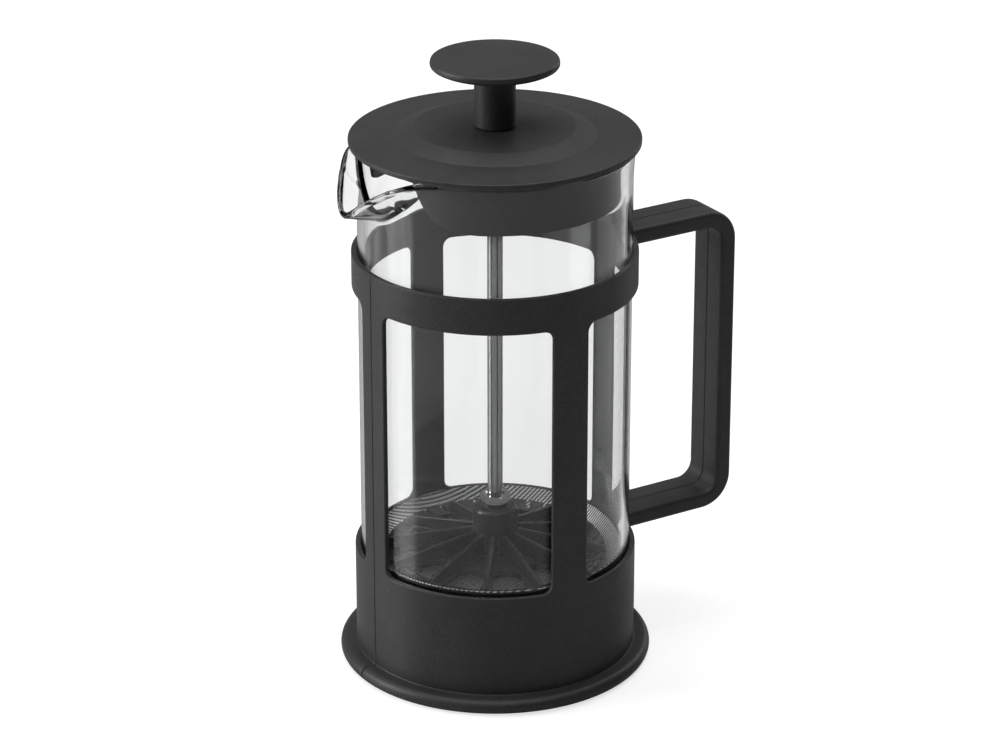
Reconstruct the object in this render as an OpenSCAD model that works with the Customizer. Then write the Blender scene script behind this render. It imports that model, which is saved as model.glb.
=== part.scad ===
// French press for about three cups: a glass beaker in a moulded holder, with a lid and a plunger.
// Z is up, the table is at z = 0, the handle points to +X and the spout to -X.
// The plunger is all the way down.

/* [Beaker] */
// Outside diameter of the glass
beaker_d = 70; // [56:1:96]
// Height of the glass, from its foot to its rim
beaker_h = 137.1; // [120:1:200]
// Thickness of the glass wall
glass_t = 1.8; // [1.4:0.1:2.6]
// Thickness of the glass floor
glass_floor_t = 2.4; // [1.8:0.1:4]
// Radius of the outer corner at the foot
foot_r = 4; // [3.2:0.1:6]
// How far the rim flares out
rim_flare = 0.6; // [0:0.1:1.2]
// Height of the flared band below the rim
rim_flare_h = 9; // [6:0.5:14]
// How far the spout stands out from the wall
spout_reach = 9.4; // [6:0.1:13]
// How far below the rim the spout leaves the wall
spout_drop = 11.6; // [9:0.1:14]
// Half angle of the conical spout
spout_half_angle = 42; // [38:1:46]
// Length cut off the point of the cone
spout_nose = 1.2; // [0.8:0.1:2]
// Thickness of the glass in the spout
spout_t = 1.5; // [1.2:0.1:1.8]
// Radius of the lip's curve, seen from the side
lip_r = 20.1; // [18:0.1:26]

/* [Holder] */
// Wall of the holder
cage_wall = 1.4; // [1.2:0.1:3]
// Height of the cup that holds the foot of the glass
cup_h = 31.2; // [24:0.1:45]
// Height of the holder
cage_h = 112.7; // [95:0.1:160]
// Height of the ring round the glass
ring_h = 9.5; // [6:0.1:16]
// Number of posts, one of them at the handle
post_count = 4; // [4:2:6]
// Width of one post
post_w = 10.4; // [6:0.1:13]
// Corner radius of the windows
window_r = 2.5; // [1.5:0.1:4]
// How far the base stands out from the cup
base_reach = 4.2; // [3:0.1:8]
// Height of the base's rounded rim
base_rim_h = 3.9; // [3:0.1:6]
// Thickness of the holder's floor
floor_t = 1.8; // [1.4:0.1:2.2]
// Height of the floor's upper face
floor_top = 4; // [3:0.1:6]
// Hole in the middle of the floor
floor_hole_d = 18; // [8:1:40]
// Width of the ring that the base stands on
stand_w = 4.2; // [3:0.1:6]
// Width of the moulded seam line
seam_w = 0.4; // [0.2:0.1:0.8]
// Depth of the seam line
seam_depth = 0.25; // [0.1:0.05:0.5]

/* [Handle] */
// How far the grip's outer face is from the holder's wall
handle_reach = 33.9; // [28:0.1:48]
// Thickness of the handle's strip
strip_t = 4.5; // [3.5:0.1:6]
// Width of the handle's strip
strip_w = 13.5; // [11:0.1:18]
// Rounding of the strip's edges
strip_edge_r = 1.2; // [0.6:0.1:1.6]
// Inside radius of the handle's two bends
bend_r = 4.2; // [2:0.1:8]
// Drop from the ring's top to the upper arm's top
upper_arm_drop = 0.7; // [0.2:0.1:3]
// Rise from the cup's top to the lower arm's top
lower_arm_rise = 0.6; // [0:0.1:3]

/* [Lid] */
// How far the lid stands out past the glass rim
lid_overhang = 1.4; // [0.8:0.1:4]
// Thickness of the lid's edge
lid_edge_t = 1.4; // [1:0.1:2.4]
// Thickness of the raised crown's wall
crown_wall = 1.6; // [1.2:0.1:2]
// Gap between the lid's spigot and the foot of the crown's bevel
crown_inset = 2.8; // [1:0.1:6]
// Width of the bevel
bevel_w = 5.3; // [3:0.1:8]
// Height of the bevel
crown_h = 2; // [1:0.1:4]
// Rise of the brim from its edge to the bevel
brim_rise = 0.6; // [0.2:0.1:1.5]
// Depth of the lid's skirt
skirt_h = 13.4; // [10:0.1:20]
// Wall of the skirt
skirt_wall = 1.4; // [1.2:0.1:2.4]
// Half angle of the pouring gap at the skirt's top
gap_top_angle = 20; // [12:0.5:26]
// Half angle of the pouring gap at the skirt's bottom
gap_low_angle = 37.5; // [28:0.5:44]
// Turn of the pouring gap away from the spout's middle
gap_turn = -4.5; // [-15:0.5:15]
// Wall of the spigot that holds the skirt
spigot_wall = 1.4; // [1:0.1:2.4]
// Depth of the spigot
spigot_h = 3.4; // [2.8:0.1:6]
// How far the snap bead holds the skirt
snap_grip = 0.2; // [0.1:0.05:0.4]
// Outside diameter of the rod guide
guide_d = 9; // [7:0.1:12]
// Length of the rod guide
guide_h = 6; // [4:0.1:10]

/* [Plunger] */
// Diameter of the rod
rod_d = 4; // [3:0.1:5]
// Diameter of the knob's disc
knob_d = 32.6; // [26:0.1:45]
// Thickness of the disc's rounded edge
knob_edge_t = 2.2; // [1.6:0.1:3.4]
// Rise of the knob's domed top
knob_dome = 0.7; // [0.4:0.1:2]
// Drop of the disc's underside from edge to stem
knob_under = 1.4; // [0.6:0.1:3]
// Height of the disc's edge above the lid's crown
knob_h = 15.4; // [12:0.1:30]
// Diameter of the knob's stem
stem_d = 10.5; // [9.5:0.1:16]
// Fillet between stem and disc
stem_fillet = 0.9; // [0.5:0.1:1.5]
// Diameter of the threaded insert in the knob
insert_d = 6.4; // [6:0.1:8]
// Length of the threaded insert in the knob
insert_h = 10; // [7:0.1:11]
// Stem left under the insert
insert_cover = 1.2; // [0.8:0.1:2]
// Length of thread left free at the end of the rod in the knob
thread_spare = 0.6; // [0.2:0.1:1.5]
// Width of the lock nut across its flats
nut_af = 7; // [7:0.1:10]
// Height of the thin lock nut
nut_h = 2.2; // [1.8:0.1:4]

/* [Filter] */
// Space for the coffee, from the glass floor to the mesh
coffee_h = 20.5; // [14:0.1:30]
// Thickness of the woven mesh with its folded edge
mesh_t = 0.4; // [0.3:0.05:0.6]
// Height of the mesh's flared rim
mesh_rim_h = 4.6; // [3:0.1:7]
// How far outside the upper plate's bends the mesh bends
mesh_lead = 0.5; // [0.3:0.1:1]
// Width left between the upper plate's edge and the mesh's edge
plate_inset = 4.1; // [3:0.1:6]
// Thickness of the upper plate at its rim
plate_t = 1.2; // [0.8:0.1:1.6]
// Thickness of the upper plate at its hub
plate_hub_t = 2.6; // [2:0.1:4]
// Width of the upper plate's turned-up rim
finger_w = 3; // [2:0.1:3.5]
// Rise of the turned-up rim
finger_rise = 1.6; // [1:0.1:2]
// Number of slots in the turned-up rim
slot_count = 36; // [12:12:36]
// Width of one slot
slot_w = 0.9; // [0.5:0.1:1.2]
// Slant of the slots
slot_slant = 30; // [0:5:40]
// Inner radius of the windows in the upper plate
plate_window_r = 15.5; // [12:0.5:18]
// Number of ribs on the upper plate
rib_count = 12; // [6:6:12]
// Width of one rib
rib_w = 1.2; // [0.8:0.1:2]
// Height of the ribs above the mesh at the hub
rib_hub_h = 7.6; // [5:0.1:9]
// Height of the ribs above the mesh at their outer ends
rib_end_h = 3.4; // [2.9:0.1:4]
// Diameter of the upper plate's hub
hub_d = 11.7; // [10:0.1:16]
// Height of the hub above the mesh
hub_h = 14; // [11:0.1:20]
// Diameter of the hub's neck, under the lock nut
neck_d = 6.8; // [6:0.1:9]
// Height of the neck
neck_h = 1.2; // [0.4:0.1:3]
// Rounding of the hub's shoulder
hub_round = 1.2; // [0.6:0.1:1.4]
// Turn of the plunger about its own axis
filter_turn = -7; // [-15:1:15]
// How far the lower cross plate reaches past the upper plate's flat part
cross_reach = 1; // [0:0.1:1.2]
// Thickness of the cross plate
cross_t = 1.6; // [1.2:0.1:3]
// Width of the cross plate's ring
cross_ring_w = 3.6; // [2.5:0.1:6]
// Number of the cross plate's spokes
spoke_count = 6; // [4:1:8]
// Width of one spoke
spoke_w = 3; // [2:0.1:4]
// Diameter of the cross plate's hub
cross_hub_d = 12; // [11:0.1:16]
// Height of the cross plate's hub
cross_hub_h = 6.4; // [5.5:0.1:8]
// Thickness of the hub's floor
cross_hub_floor = 1; // [0.8:0.1:1.5]
// How far the rod's tip stands out of the insert
rod_tip = 0.4; // [0.2:0.1:0.6]

/* [Fits] */
// Gap between the glass and the holder, on the radius
glass_gap = 0.2; // [0.15:0.05:0.4]
// Gap between the glass rim and the lid
lid_gap = 0.3; // [0.2:0.05:0.6]
// Gap between the skirt and the glass, on the radius
skirt_gap = 1.4; // [0.6:0.1:2.5]
// Gap between the skirt and the lid's spigot, on the radius
snap_gap = 0.3; // [0.2:0.05:0.5]
// Running clearance of the rod in the lid, on the radius
rod_gap = 0.05; // [0.02:0.01:0.1]
// Gap between the mesh's edge and the glass, on the radius
mesh_gap = 0.3; // [0.2:0.05:0.6]
// Gap between the knob and the lid when the plunger is down
knob_gap = 0.2; // [0.1:0.05:0.5]
// Gap round pieces that are fixed in or on each other
seat_gap = 0.05; // [0.02:0.01:0.1]

/* [Hidden] */

$fn = 96;
past = 1; // how far a cut runs past a face
wide = 200; // larger than the whole object

beaker_r = beaker_d / 2;
bore_r = beaker_r - glass_t;
foot_z = floor_top;
rim_z = foot_z + beaker_h;
spout_z = rim_z - spout_drop;
spout_tip_x = -(beaker_r + spout_reach);
lip_overshoot = 0.1; // the lip's curve crosses the rim instead of just touching it
lip_z = rim_z + lip_overshoot - lip_r;
lip_x = spout_tip_x + sqrt(lip_r * lip_r - (lip_z - spout_z) * (lip_z - spout_z));

cage_in_r = beaker_r + glass_gap;
cage_r = cage_in_r + cage_wall;
ring_z = cage_h - ring_h;
base_r = cage_r + base_reach;
post_step = 360 / post_count;
post_half_angle = asin(post_w / 2 / cage_r);
window_angle = post_step - 2 * post_half_angle;
corner_overlap = 0.6; // how far a corner fillet reaches into post and ring
corner_grow = 1.04; // the fillet's arc meets the edges at a slight angle

grip_x = cage_r + handle_reach;
upper_arm_z = cage_h - upper_arm_drop - strip_t / 2;
lower_arm_z = cup_h + lower_arm_rise - strip_t / 2;
bend_x = grip_x - strip_t - bend_r;

lid_r = beaker_r + rim_flare + lid_overhang;
lid_z = rim_z + lid_gap;
brim_z = lid_z + lid_edge_t;
crown_foot_z = brim_z + brim_rise;
crown_z = crown_foot_z + crown_h;
skirt_r = bore_r - skirt_gap;
skirt_in_r = skirt_r - skirt_wall;
skirt_top_z = lid_z - knob_gap;
skirt_z = lid_z - skirt_h - knob_gap;
spigot_r = skirt_in_r - snap_gap - snap_grip;
spigot_z = lid_z - spigot_h;
bead_h = 1; // height of the snap bead
bead_r = spigot_r + snap_gap + snap_grip / 2;
crown_foot_r = spigot_r - spigot_wall - crown_inset;
crown_r = crown_foot_r - bevel_w;
guide_z = crown_z - guide_h;

rod_r = rod_d / 2;
knob_z = crown_z + knob_gap;
disc_z = crown_z + knob_h;
disc_r = knob_d / 2;
knob_top_z = disc_z + knob_edge_t + knob_dome;
dome_r = (disc_r * disc_r + knob_dome * knob_dome) / (2 * knob_dome);
insert_z = knob_z + insert_cover;
rod_top_z = insert_z + insert_h - thread_spare;

mesh_z = foot_z + glass_floor_t + coffee_h;
mesh_top_z = mesh_z + mesh_t;
mesh_r = bore_r - mesh_gap;
plate_r = mesh_r - plate_inset;
plate_flat_r = plate_r - finger_w;
hub_z = mesh_top_z + hub_h;
nut_z = hub_z + neck_h;
rib_in_r = hub_d / 2 - past;
rib_end_gap = 0.6; // between a rib's end and the plate's edge
rib_end_r = plate_r - rib_end_gap;
rib_step = 360 / rib_count;
window_edge = 1; // plate left beside a rib
plate_window_angle = rib_step - 2 * asin((rib_w / 2 + window_edge) / plate_window_r);
cross_top_z = mesh_z;
cross_z = cross_top_z - cross_t;
cross_r = plate_flat_r + cross_reach;
cross_hub_z = cross_top_z - cross_hub_h;
cross_insert_z = cross_hub_z + cross_hub_floor;
rod_low_z = cross_insert_z - rod_tip;

PLASTIC = [0.13, 0.13, 0.135];
GLASS = [0.86, 0.92, 0.94, 0.35];
STEEL = [0.74, 0.75, 0.77];
BRASS = [0.72, 0.58, 0.30];

// ---- shared shapes -------------------------------------------------------------------------

// A rectangle centred on the origin, with rounded corners.
module rounded_rect(w, h, r) {
  square([w - 2 * r, h], center = true);
  square([w, h - 2 * r], center = true);
  for (sx = [-1, 1], sy = [-1, 1])
    translate([sx * (w / 2 - r), sy * (h / 2 - r)]) circle(r = r);
}

// A tube standing on height z.
module tube(r_out, r_in, z, h) {
  translate([0, 0, z]) difference() {
    cylinder(r = r_out, h = h);
    translate([0, 0, -past]) cylinder(r = r_in, h = h + 2 * past);
  }
}

// A ring sector from radius r_in to r_out, centred on the direction at.
module sector(r_in, r_out, z, h, angle, at) {
  rotate([0, 0, at - angle / 2]) translate([0, 0, z])
    rotate_extrude(angle = angle) translate([r_in, 0]) square([r_out - r_in, h]);
}

// ---- holder --------------------------------------------------------------------------------

// One corner piece of a window, at the radius of the wall. The corner is at the origin.
module corner_fillet() {
  side = window_r + corner_overlap;
  difference() {
    translate([cage_in_r - past, -corner_overlap, -corner_overlap])
      cube([cage_wall + 2 * past, side, side]);
    translate([cage_in_r - 2 * past, window_r, window_r]) rotate([0, 90, 0])
      cylinder(r = window_r * corner_grow, h = cage_wall + 4 * past);
  }
}

// The opening between two posts, with rounded corners.
module cage_window(at) {
  difference() {
    sector(cage_in_r - past, cage_r + past, cup_h, ring_z - cup_h, window_angle, at);
    for (side = [-1, 1], level = [0, 1])
      translate([0, 0, level == 0 ? cup_h : ring_z])
        rotate([0, 0, at + side * window_angle / 2])
          mirror([0, side > 0 ? 1 : 0, 0]) mirror([0, 0, level])
            corner_fillet();
  }
}

// The base: a rounded rim round a flat foot.
module base_disc() {
  rotate_extrude() {
    square([base_r - base_rim_h / 2, base_rim_h]);
    translate([base_r - base_rim_h / 2, base_rim_h / 2]) circle(d = base_rim_h);
  }
}

// The handle: one flat strip bent into a C.
module handle_strip() {
  arm_x = cage_in_r - 3 * past; // the bore cuts off what reaches inside
  for (z = [lower_arm_z, upper_arm_z])
    translate([arm_x, 0, z]) rotate([90, 0, 90])
      linear_extrude(bend_x - arm_x) rounded_rect(strip_w, strip_t, strip_edge_r);
  for (up = [0, 1])
    translate([bend_x, 0, up ? upper_arm_z - strip_t / 2 - bend_r : lower_arm_z + strip_t / 2 + bend_r])
      mirror([0, 0, 1 - up]) rotate([90, 0, 0])
        rotate_extrude(angle = 90) translate([bend_r + strip_t / 2, 0])
          rounded_rect(strip_t, strip_w, strip_edge_r);
  grip_low_z = lower_arm_z + strip_t / 2 + bend_r;
  grip_high_z = upper_arm_z - strip_t / 2 - bend_r;
  translate([grip_x - strip_t / 2, 0, grip_low_z])
    linear_extrude(grip_high_z - grip_low_z) rounded_rect(strip_t, strip_w, strip_edge_r);
}

// The seam line left by the mould, in the plane y = 0.
module seam_cut() {
  // down the ring, the post and the cup on the spout side
  translate([-cage_r - past, -seam_w / 2, base_rim_h])
    cube([past + seam_depth, seam_w, cage_h]);
  // across the base's rim
  translate([-base_r - past, -seam_w / 2, -past])
    cube([past + 2 * seam_depth, seam_w, base_rim_h + 2 * past]);
  // along the upper arm, the grip's inner face and the lower arm
  arm_l = bend_x - cage_r - past;
  for (top = [upper_arm_z + strip_t / 2, lower_arm_z + strip_t / 2])
    translate([cage_r + past, -seam_w / 2, top - seam_depth])
      cube([arm_l, seam_w, past]);
  translate([grip_x - strip_t - past + seam_depth, -seam_w / 2, lower_arm_z + strip_t / 2 + bend_r])
    cube([past, seam_w, upper_arm_z - lower_arm_z - strip_t - 2 * bend_r]);
}

module holder_frame() {
  color(PLASTIC) difference() {
    union() {
      cylinder(r = cage_r, h = cage_h);
      base_disc();
      handle_strip();
    }
    // the bore for the glass
    translate([0, 0, floor_top]) cylinder(r = cage_in_r, h = cage_h);
    for (i = [0 : post_count - 1])
      cage_window((i + 0.5) * post_step);
    translate([0, 0, -past]) cylinder(d = floor_hole_d, h = floor_top + 2 * past);
    // the hollow under the floor
    translate([0, 0, -past])
      cylinder(r = base_r - base_rim_h / 2 - stand_w, h = floor_top - floor_t + past);
    seam_cut();
  }
}

// ---- beaker --------------------------------------------------------------------------------

// The solid outer shape of the glass without its spout.
module beaker_outside() {
  bead_z = rim_z - glass_t / 2;
  rotate_extrude() {
    translate([0, foot_z]) square([beaker_r - foot_r, foot_r * 2]);
    translate([0, foot_z + foot_r]) square([beaker_r, beaker_h - foot_r - rim_flare_h]);
    intersection() {
      translate([beaker_r - foot_r, foot_z + foot_r]) circle(r = foot_r);
      translate([0, foot_z]) square([beaker_r, foot_r + past]);
    }
    polygon([
      [0, rim_z - rim_flare_h - past], [beaker_r, rim_z - rim_flare_h - past],
      [beaker_r, rim_z - rim_flare_h], [beaker_r + rim_flare, bead_z],
      [beaker_r + rim_flare - glass_t / 2, rim_z], [0, rim_z]
    ]);
  }
}

// The room inside the glass.
module beaker_inside() {
  inner_foot_r = foot_r - glass_t / 2;
  inner_z = foot_z + glass_floor_t;
  rotate_extrude() {
    translate([0, inner_z]) square([bore_r - inner_foot_r, inner_foot_r * 2]);
    translate([bore_r - inner_foot_r, inner_z + inner_foot_r]) circle(r = inner_foot_r);
    translate([0, inner_z + inner_foot_r])
      square([bore_r, rim_z - rim_flare_h - inner_z - inner_foot_r]);
    polygon([
      [0, rim_z - rim_flare_h - past], [bore_r, rim_z - rim_flare_h - past],
      [bore_r, rim_z - rim_flare_h], [bore_r + rim_flare, rim_z + past], [0, rim_z + past]
    ]);
  }
}

// The cone that forms the spout, moved inward by inset. Its lower side is level.
module spout_cone(inset) {
  cone_l = beaker_r;
  along = inset / sin(spout_half_angle);
  translate([
    spout_tip_x - spout_nose + along * cos(spout_half_angle), 0,
    spout_z + along * sin(spout_half_angle)
  ])
    rotate([0, 90 - spout_half_angle, 0])
      cylinder(r1 = 0, r2 = cone_l * tan(spout_half_angle), h = cone_l);
}

// Everything above the curve of the lip, on the spout's side.
module above_lip() {
  difference() {
    translate([lip_x - wide / 2, -wide / 2, lip_z]) cube([wide / 2, wide, lip_r + wide / 4]);
    translate([lip_x, wide, lip_z]) rotate([90, 0, 0]) cylinder(r = lip_r, h = 2 * wide);
  }
}

module glass_beaker() {
  color(GLASS) difference() {
    union() {
      beaker_outside();
      intersection() {
        spout_cone(0);
        translate([-wide / 2, -wide / 4, spout_z - past])
          cube([wide / 2 - beaker_r * 0.6, wide / 2, spout_drop + past]);
      }
    }
    beaker_inside();
    intersection() {
      spout_cone(spout_t);
      translate([-wide / 2, -wide / 4, spout_z])
        cube([wide / 2 - beaker_r * 0.6, wide / 2, spout_drop + 2 * past]);
    }
    above_lip();
  }
}

// ---- lid -----------------------------------------------------------------------------------

module lid_cover() {
  hole_r = rod_r + rod_gap;
  inset = crown_wall / 4;
  round_r = lid_edge_t / 2;
  color(PLASTIC) union() {
    rotate_extrude() {
      // crown and brim
      polygon([
        [hole_r, crown_z], [crown_r, crown_z], [crown_foot_r, crown_foot_z],
        [lid_r - round_r, brim_z], [lid_r - round_r, lid_z],
        [crown_foot_r - inset, lid_z], [crown_r - inset, crown_z - crown_wall],
        [hole_r, crown_z - crown_wall]
      ]);
      translate([lid_r - round_r, lid_z + round_r]) circle(r = round_r);
    }
    // the guide round the rod
    tube(guide_d / 2, hole_r, guide_z, guide_h - crown_wall / 2);
    // the spigot with its snap bead
    rotate_extrude()
      polygon([
        [spigot_r - spigot_wall, lid_z + round_r], [spigot_r - spigot_wall, spigot_z],
        [spigot_r, spigot_z], [bead_r, spigot_z + bead_h / 2], [bead_r, spigot_z + bead_h],
        [spigot_r, spigot_z + bead_h], [spigot_r, lid_z + round_r]
      ]);
  }
}

// The wedge that leaves the pouring gap in the skirt: wider at the bottom.
module pouring_gap() {
  far = skirt_r + past;
  z_low = skirt_z - past;
  z_high = skirt_top_z + past;
  slope = (skirt_r * sin(gap_low_angle) - skirt_r * sin(gap_top_angle)) / (skirt_top_z - skirt_z);
  half_low = skirt_r * sin(gap_low_angle) + slope * past;
  half_high = skirt_r * sin(gap_top_angle) - slope * past;
  near = skirt_in_r * 0.7;
  rotate([0, 0, gap_turn]) translate([-near, 0, 0]) rotate([90, 0, -90])
    linear_extrude(far - near)
      polygon([[-half_low, z_low], [half_low, z_low], [half_high, z_high], [-half_high, z_high]]);
}

module lid_strainer_ring() {
  shoulder_z = spigot_z + bead_h + knob_gap;
  color(PLASTIC) difference() {
    rotate_extrude() {
      translate([skirt_in_r, skirt_z]) square([skirt_wall, skirt_top_z - skirt_z]);
      translate([spigot_r + snap_gap, shoulder_z])
        square([skirt_r - skirt_wall / 2 - spigot_r - snap_gap, skirt_top_z - shoulder_z]);
    }
    pouring_gap();
  }
}

// ---- plunger -------------------------------------------------------------------------------

module knob() {
  stem_r = stem_d / 2;
  edge_r = knob_edge_t / 2;
  under_z = disc_z - knob_under;
  color(PLASTIC) difference() {
    rotate_extrude() {
      translate([0, knob_z]) square([stem_r, disc_z - knob_z]);
      polygon([[0, under_z], [stem_r, under_z], [disc_r - edge_r, disc_z], [0, disc_z]]);
      translate([0, disc_z]) square([disc_r - edge_r, knob_edge_t]);
      translate([disc_r - edge_r, disc_z + edge_r]) circle(r = edge_r);
      intersection() {
        translate([0, knob_top_z - dome_r]) circle(r = dome_r, $fn = 360);
        translate([0, disc_z + edge_r]) square([disc_r - edge_r, knob_edge_t + knob_dome]);
      }
      difference() {
        translate([0, under_z - stem_fillet]) square([stem_r + stem_fillet, stem_fillet + knob_under / 8]);
        translate([stem_r + stem_fillet * corner_grow, under_z - stem_fillet])
          circle(r = stem_fillet * corner_grow);
      }
    }
    // the seat of the threaded insert, open at the stem's end for the rod
    translate([0, 0, knob_z - past]) cylinder(r = rod_r + seat_gap, h = insert_z - knob_z + 2 * past);
    translate([0, 0, insert_z]) cylinder(r = insert_d / 2 + seat_gap, h = insert_h);
  }
}

module knob_insert() {
  color(BRASS) tube(insert_d / 2, rod_r + seat_gap, insert_z, insert_h);
}

module plunger_rod() {
  chamfer = rod_r / 4;
  color(STEEL) rotate_extrude()
    polygon([
      [0, rod_low_z], [rod_r - chamfer, rod_low_z], [rod_r, rod_low_z + chamfer],
      [rod_r, rod_top_z - chamfer], [rod_r - chamfer, rod_top_z], [0, rod_top_z]
    ]);
}

module rod_lock_nut() {
  corner_r = nut_af / 2 / cos(30);
  face_r = nut_af / 2 - nut_h / 32;
  chamfer_r = face_r + nut_h * tan(60);
  color(STEEL) translate([0, 0, nut_z]) difference() {
    intersection() {
      rotate([0, 0, filter_turn]) cylinder(r = corner_r, h = nut_h, $fn = 6);
      // the turned chamfers of the upper and the lower face
      cylinder(r1 = chamfer_r, r2 = face_r, h = nut_h);
      cylinder(r1 = face_r, r2 = chamfer_r, h = nut_h);
    }
    translate([0, 0, -past]) cylinder(r = rod_r + seat_gap, h = nut_h + 2 * past);
  }
}

// The upper plate's turned body, before its slots and windows are cut.
module upper_plate_body() {
  rotate_extrude() {
    translate([0, mesh_top_z]) square([hub_d / 2, hub_h - hub_round]);
    translate([0, hub_z - hub_round * 2]) square([hub_d / 2 - hub_round, hub_round * 2]);
    translate([hub_d / 2 - hub_round, hub_z - hub_round]) circle(r = hub_round);
    translate([0, hub_z - hub_round]) square([neck_d / 2, hub_round + neck_h]);
    polygon([
      [0, mesh_top_z], [plate_flat_r, mesh_top_z],
      [plate_r, mesh_top_z + finger_rise], [plate_r, mesh_top_z + finger_rise + plate_t],
      [plate_flat_r, mesh_top_z + plate_t], [hub_d / 2 - past, mesh_top_z + plate_hub_t],
      [0, mesh_top_z + plate_hub_t]
    ]);
  }
}

// One rib, along +X, from the hub to the plate's rim.
module rib() {
  translate([0, rib_w / 2, 0]) rotate([90, 0, 0]) linear_extrude(rib_w)
    polygon([
      [rib_in_r, mesh_top_z + plate_t / 2], [rib_in_r, mesh_top_z + rib_hub_h],
      [rib_end_r, mesh_top_z + rib_end_h],
      [rib_end_r, mesh_top_z + finger_rise + plate_t / 3],
      [plate_flat_r, mesh_top_z + plate_t / 3]
    ]);
}

module filter_upper_plate() {
  color(PLASTIC) rotate([0, 0, filter_turn]) difference() {
    union() {
      difference() {
        upper_plate_body();
        for (i = [0 : rib_count - 1])
          sector(
            plate_window_r, plate_flat_r - window_edge, mesh_top_z - past,
            plate_hub_t + 2 * past, plate_window_angle, (i + 0.5) * rib_step
          );
        for (i = [0 : slot_count - 1])
          rotate([0, 0, (i + 0.5) * 360 / slot_count])
            translate([plate_flat_r + slot_w / 2, 0, mesh_top_z - past]) rotate([0, 0, slot_slant])
              translate([0, -slot_w / 2, 0])
                cube([finger_w * 2, slot_w, finger_rise + plate_t + 2 * past]);
      }
      for (i = [0 : rib_count - 1])
        rotate([0, 0, i * rib_step]) rib();
    }
    translate([0, 0, mesh_z]) cylinder(r = rod_r + seat_gap, h = nut_z - mesh_z + past);
  }
}

module filter_mesh() {
  line = [
    [rod_r + seat_gap, mesh_z], [plate_flat_r + mesh_lead, mesh_z],
    [plate_r + mesh_lead, mesh_z + finger_rise], [mesh_r, mesh_z + mesh_rim_h]
  ];
  color(STEEL) rotate_extrude()
    polygon(concat(line, [for (i = [3 : -1 : 0]) line[i] + [0, mesh_t]]));
}

module filter_cross_plate() {
  ring_in_r = cross_r - cross_ring_w;
  hub_r = cross_hub_d / 2;
  color(PLASTIC) rotate([0, 0, filter_turn]) difference() {
    union() {
      translate([0, 0, cross_z]) linear_extrude(cross_t) {
        difference() {
          circle(r = cross_r);
          circle(r = ring_in_r);
        }
        for (i = [0 : spoke_count - 1])
          rotate((i + 0.5) * 360 / spoke_count) translate([hub_r / 2, -spoke_w / 2])
            square([ring_in_r + cross_ring_w / 2 - hub_r / 2, spoke_w]);
      }
      translate([0, 0, cross_hub_z]) cylinder(r = hub_r, h = cross_hub_h);
    }
    translate([0, 0, cross_insert_z]) cylinder(r = insert_d / 2 + seat_gap, h = cross_hub_h);
    translate([0, 0, rod_low_z - seat_gap]) cylinder(r = rod_r + seat_gap, h = cross_hub_h);
  }
}

module cross_plate_insert() {
  color(BRASS) tube(insert_d / 2, rod_r + seat_gap, cross_insert_z, cross_top_z - cross_insert_z);
}

holder_frame();
glass_beaker();
lid_cover();
lid_strainer_ring();
knob();
knob_insert();
plunger_rod();
rod_lock_nut();
filter_upper_plate();
filter_mesh();
filter_cross_plate();
cross_plate_insert();
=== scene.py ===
from math import asin, atan2, cos, exp, hypot, pi, radians, sin, sqrt, tan

import bmesh
import bpy
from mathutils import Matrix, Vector


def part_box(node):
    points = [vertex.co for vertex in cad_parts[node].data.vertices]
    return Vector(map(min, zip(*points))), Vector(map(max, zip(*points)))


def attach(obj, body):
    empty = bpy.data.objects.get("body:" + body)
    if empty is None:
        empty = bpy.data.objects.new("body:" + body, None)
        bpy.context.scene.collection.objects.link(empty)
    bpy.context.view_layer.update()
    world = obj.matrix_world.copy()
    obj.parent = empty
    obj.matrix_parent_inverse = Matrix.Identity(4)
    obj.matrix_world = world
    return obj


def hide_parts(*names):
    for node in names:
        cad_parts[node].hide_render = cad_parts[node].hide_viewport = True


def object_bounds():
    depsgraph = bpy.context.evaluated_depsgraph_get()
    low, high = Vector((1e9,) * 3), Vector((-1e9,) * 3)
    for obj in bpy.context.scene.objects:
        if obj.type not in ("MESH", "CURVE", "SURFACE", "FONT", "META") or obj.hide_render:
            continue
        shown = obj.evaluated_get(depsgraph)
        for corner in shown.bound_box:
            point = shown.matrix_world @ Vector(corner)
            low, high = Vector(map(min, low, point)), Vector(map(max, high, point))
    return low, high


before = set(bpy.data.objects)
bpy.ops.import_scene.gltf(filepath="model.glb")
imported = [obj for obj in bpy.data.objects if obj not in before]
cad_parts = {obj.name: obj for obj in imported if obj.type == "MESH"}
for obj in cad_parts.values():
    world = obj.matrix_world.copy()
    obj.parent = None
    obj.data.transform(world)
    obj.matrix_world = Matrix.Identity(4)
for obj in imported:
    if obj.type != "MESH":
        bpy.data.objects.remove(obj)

# Outlines and sizes are in millimetres, and each mesh is scaled to metres when it is made.
MM = 0.001
CAD_LOW, CAD_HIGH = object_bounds()
SCENE = bpy.context.scene


def box_mm(node):
    """Lowest and highest corner of a CAD node in millimetres."""
    low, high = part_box(node)
    return low / MM, high / MM


HOLDER_HIGH = box_mm("holder_frame")[1]
GLASS_LOW, GLASS_HIGH = box_mm("glass_beaker")
LID_LOW, LID_HIGH = box_mm("lid_cover")
SKIRT_LOW, SKIRT_HIGH = box_mm("lid_strainer_ring")
KNOB_LOW, KNOB_HIGH = box_mm("knob")
ROD_LOW, ROD_HIGH = box_mm("plunger_rod")
NUT_LOW, NUT_HIGH = box_mm("rod_lock_nut")
PLATE_LOW, PLATE_HIGH = box_mm("filter_upper_plate")
MESH_LOW, MESH_HIGH = box_mm("filter_mesh")
CROSS_LOW, CROSS_HIGH = box_mm("filter_cross_plate")
KNOB_INSERT_LOW, KNOB_INSERT_HIGH = box_mm("knob_insert")
CROSS_INSERT_LOW, CROSS_INSERT_HIGH = box_mm("cross_plate_insert")


# ---- camera --------------------------------------------------------------------------------


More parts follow.
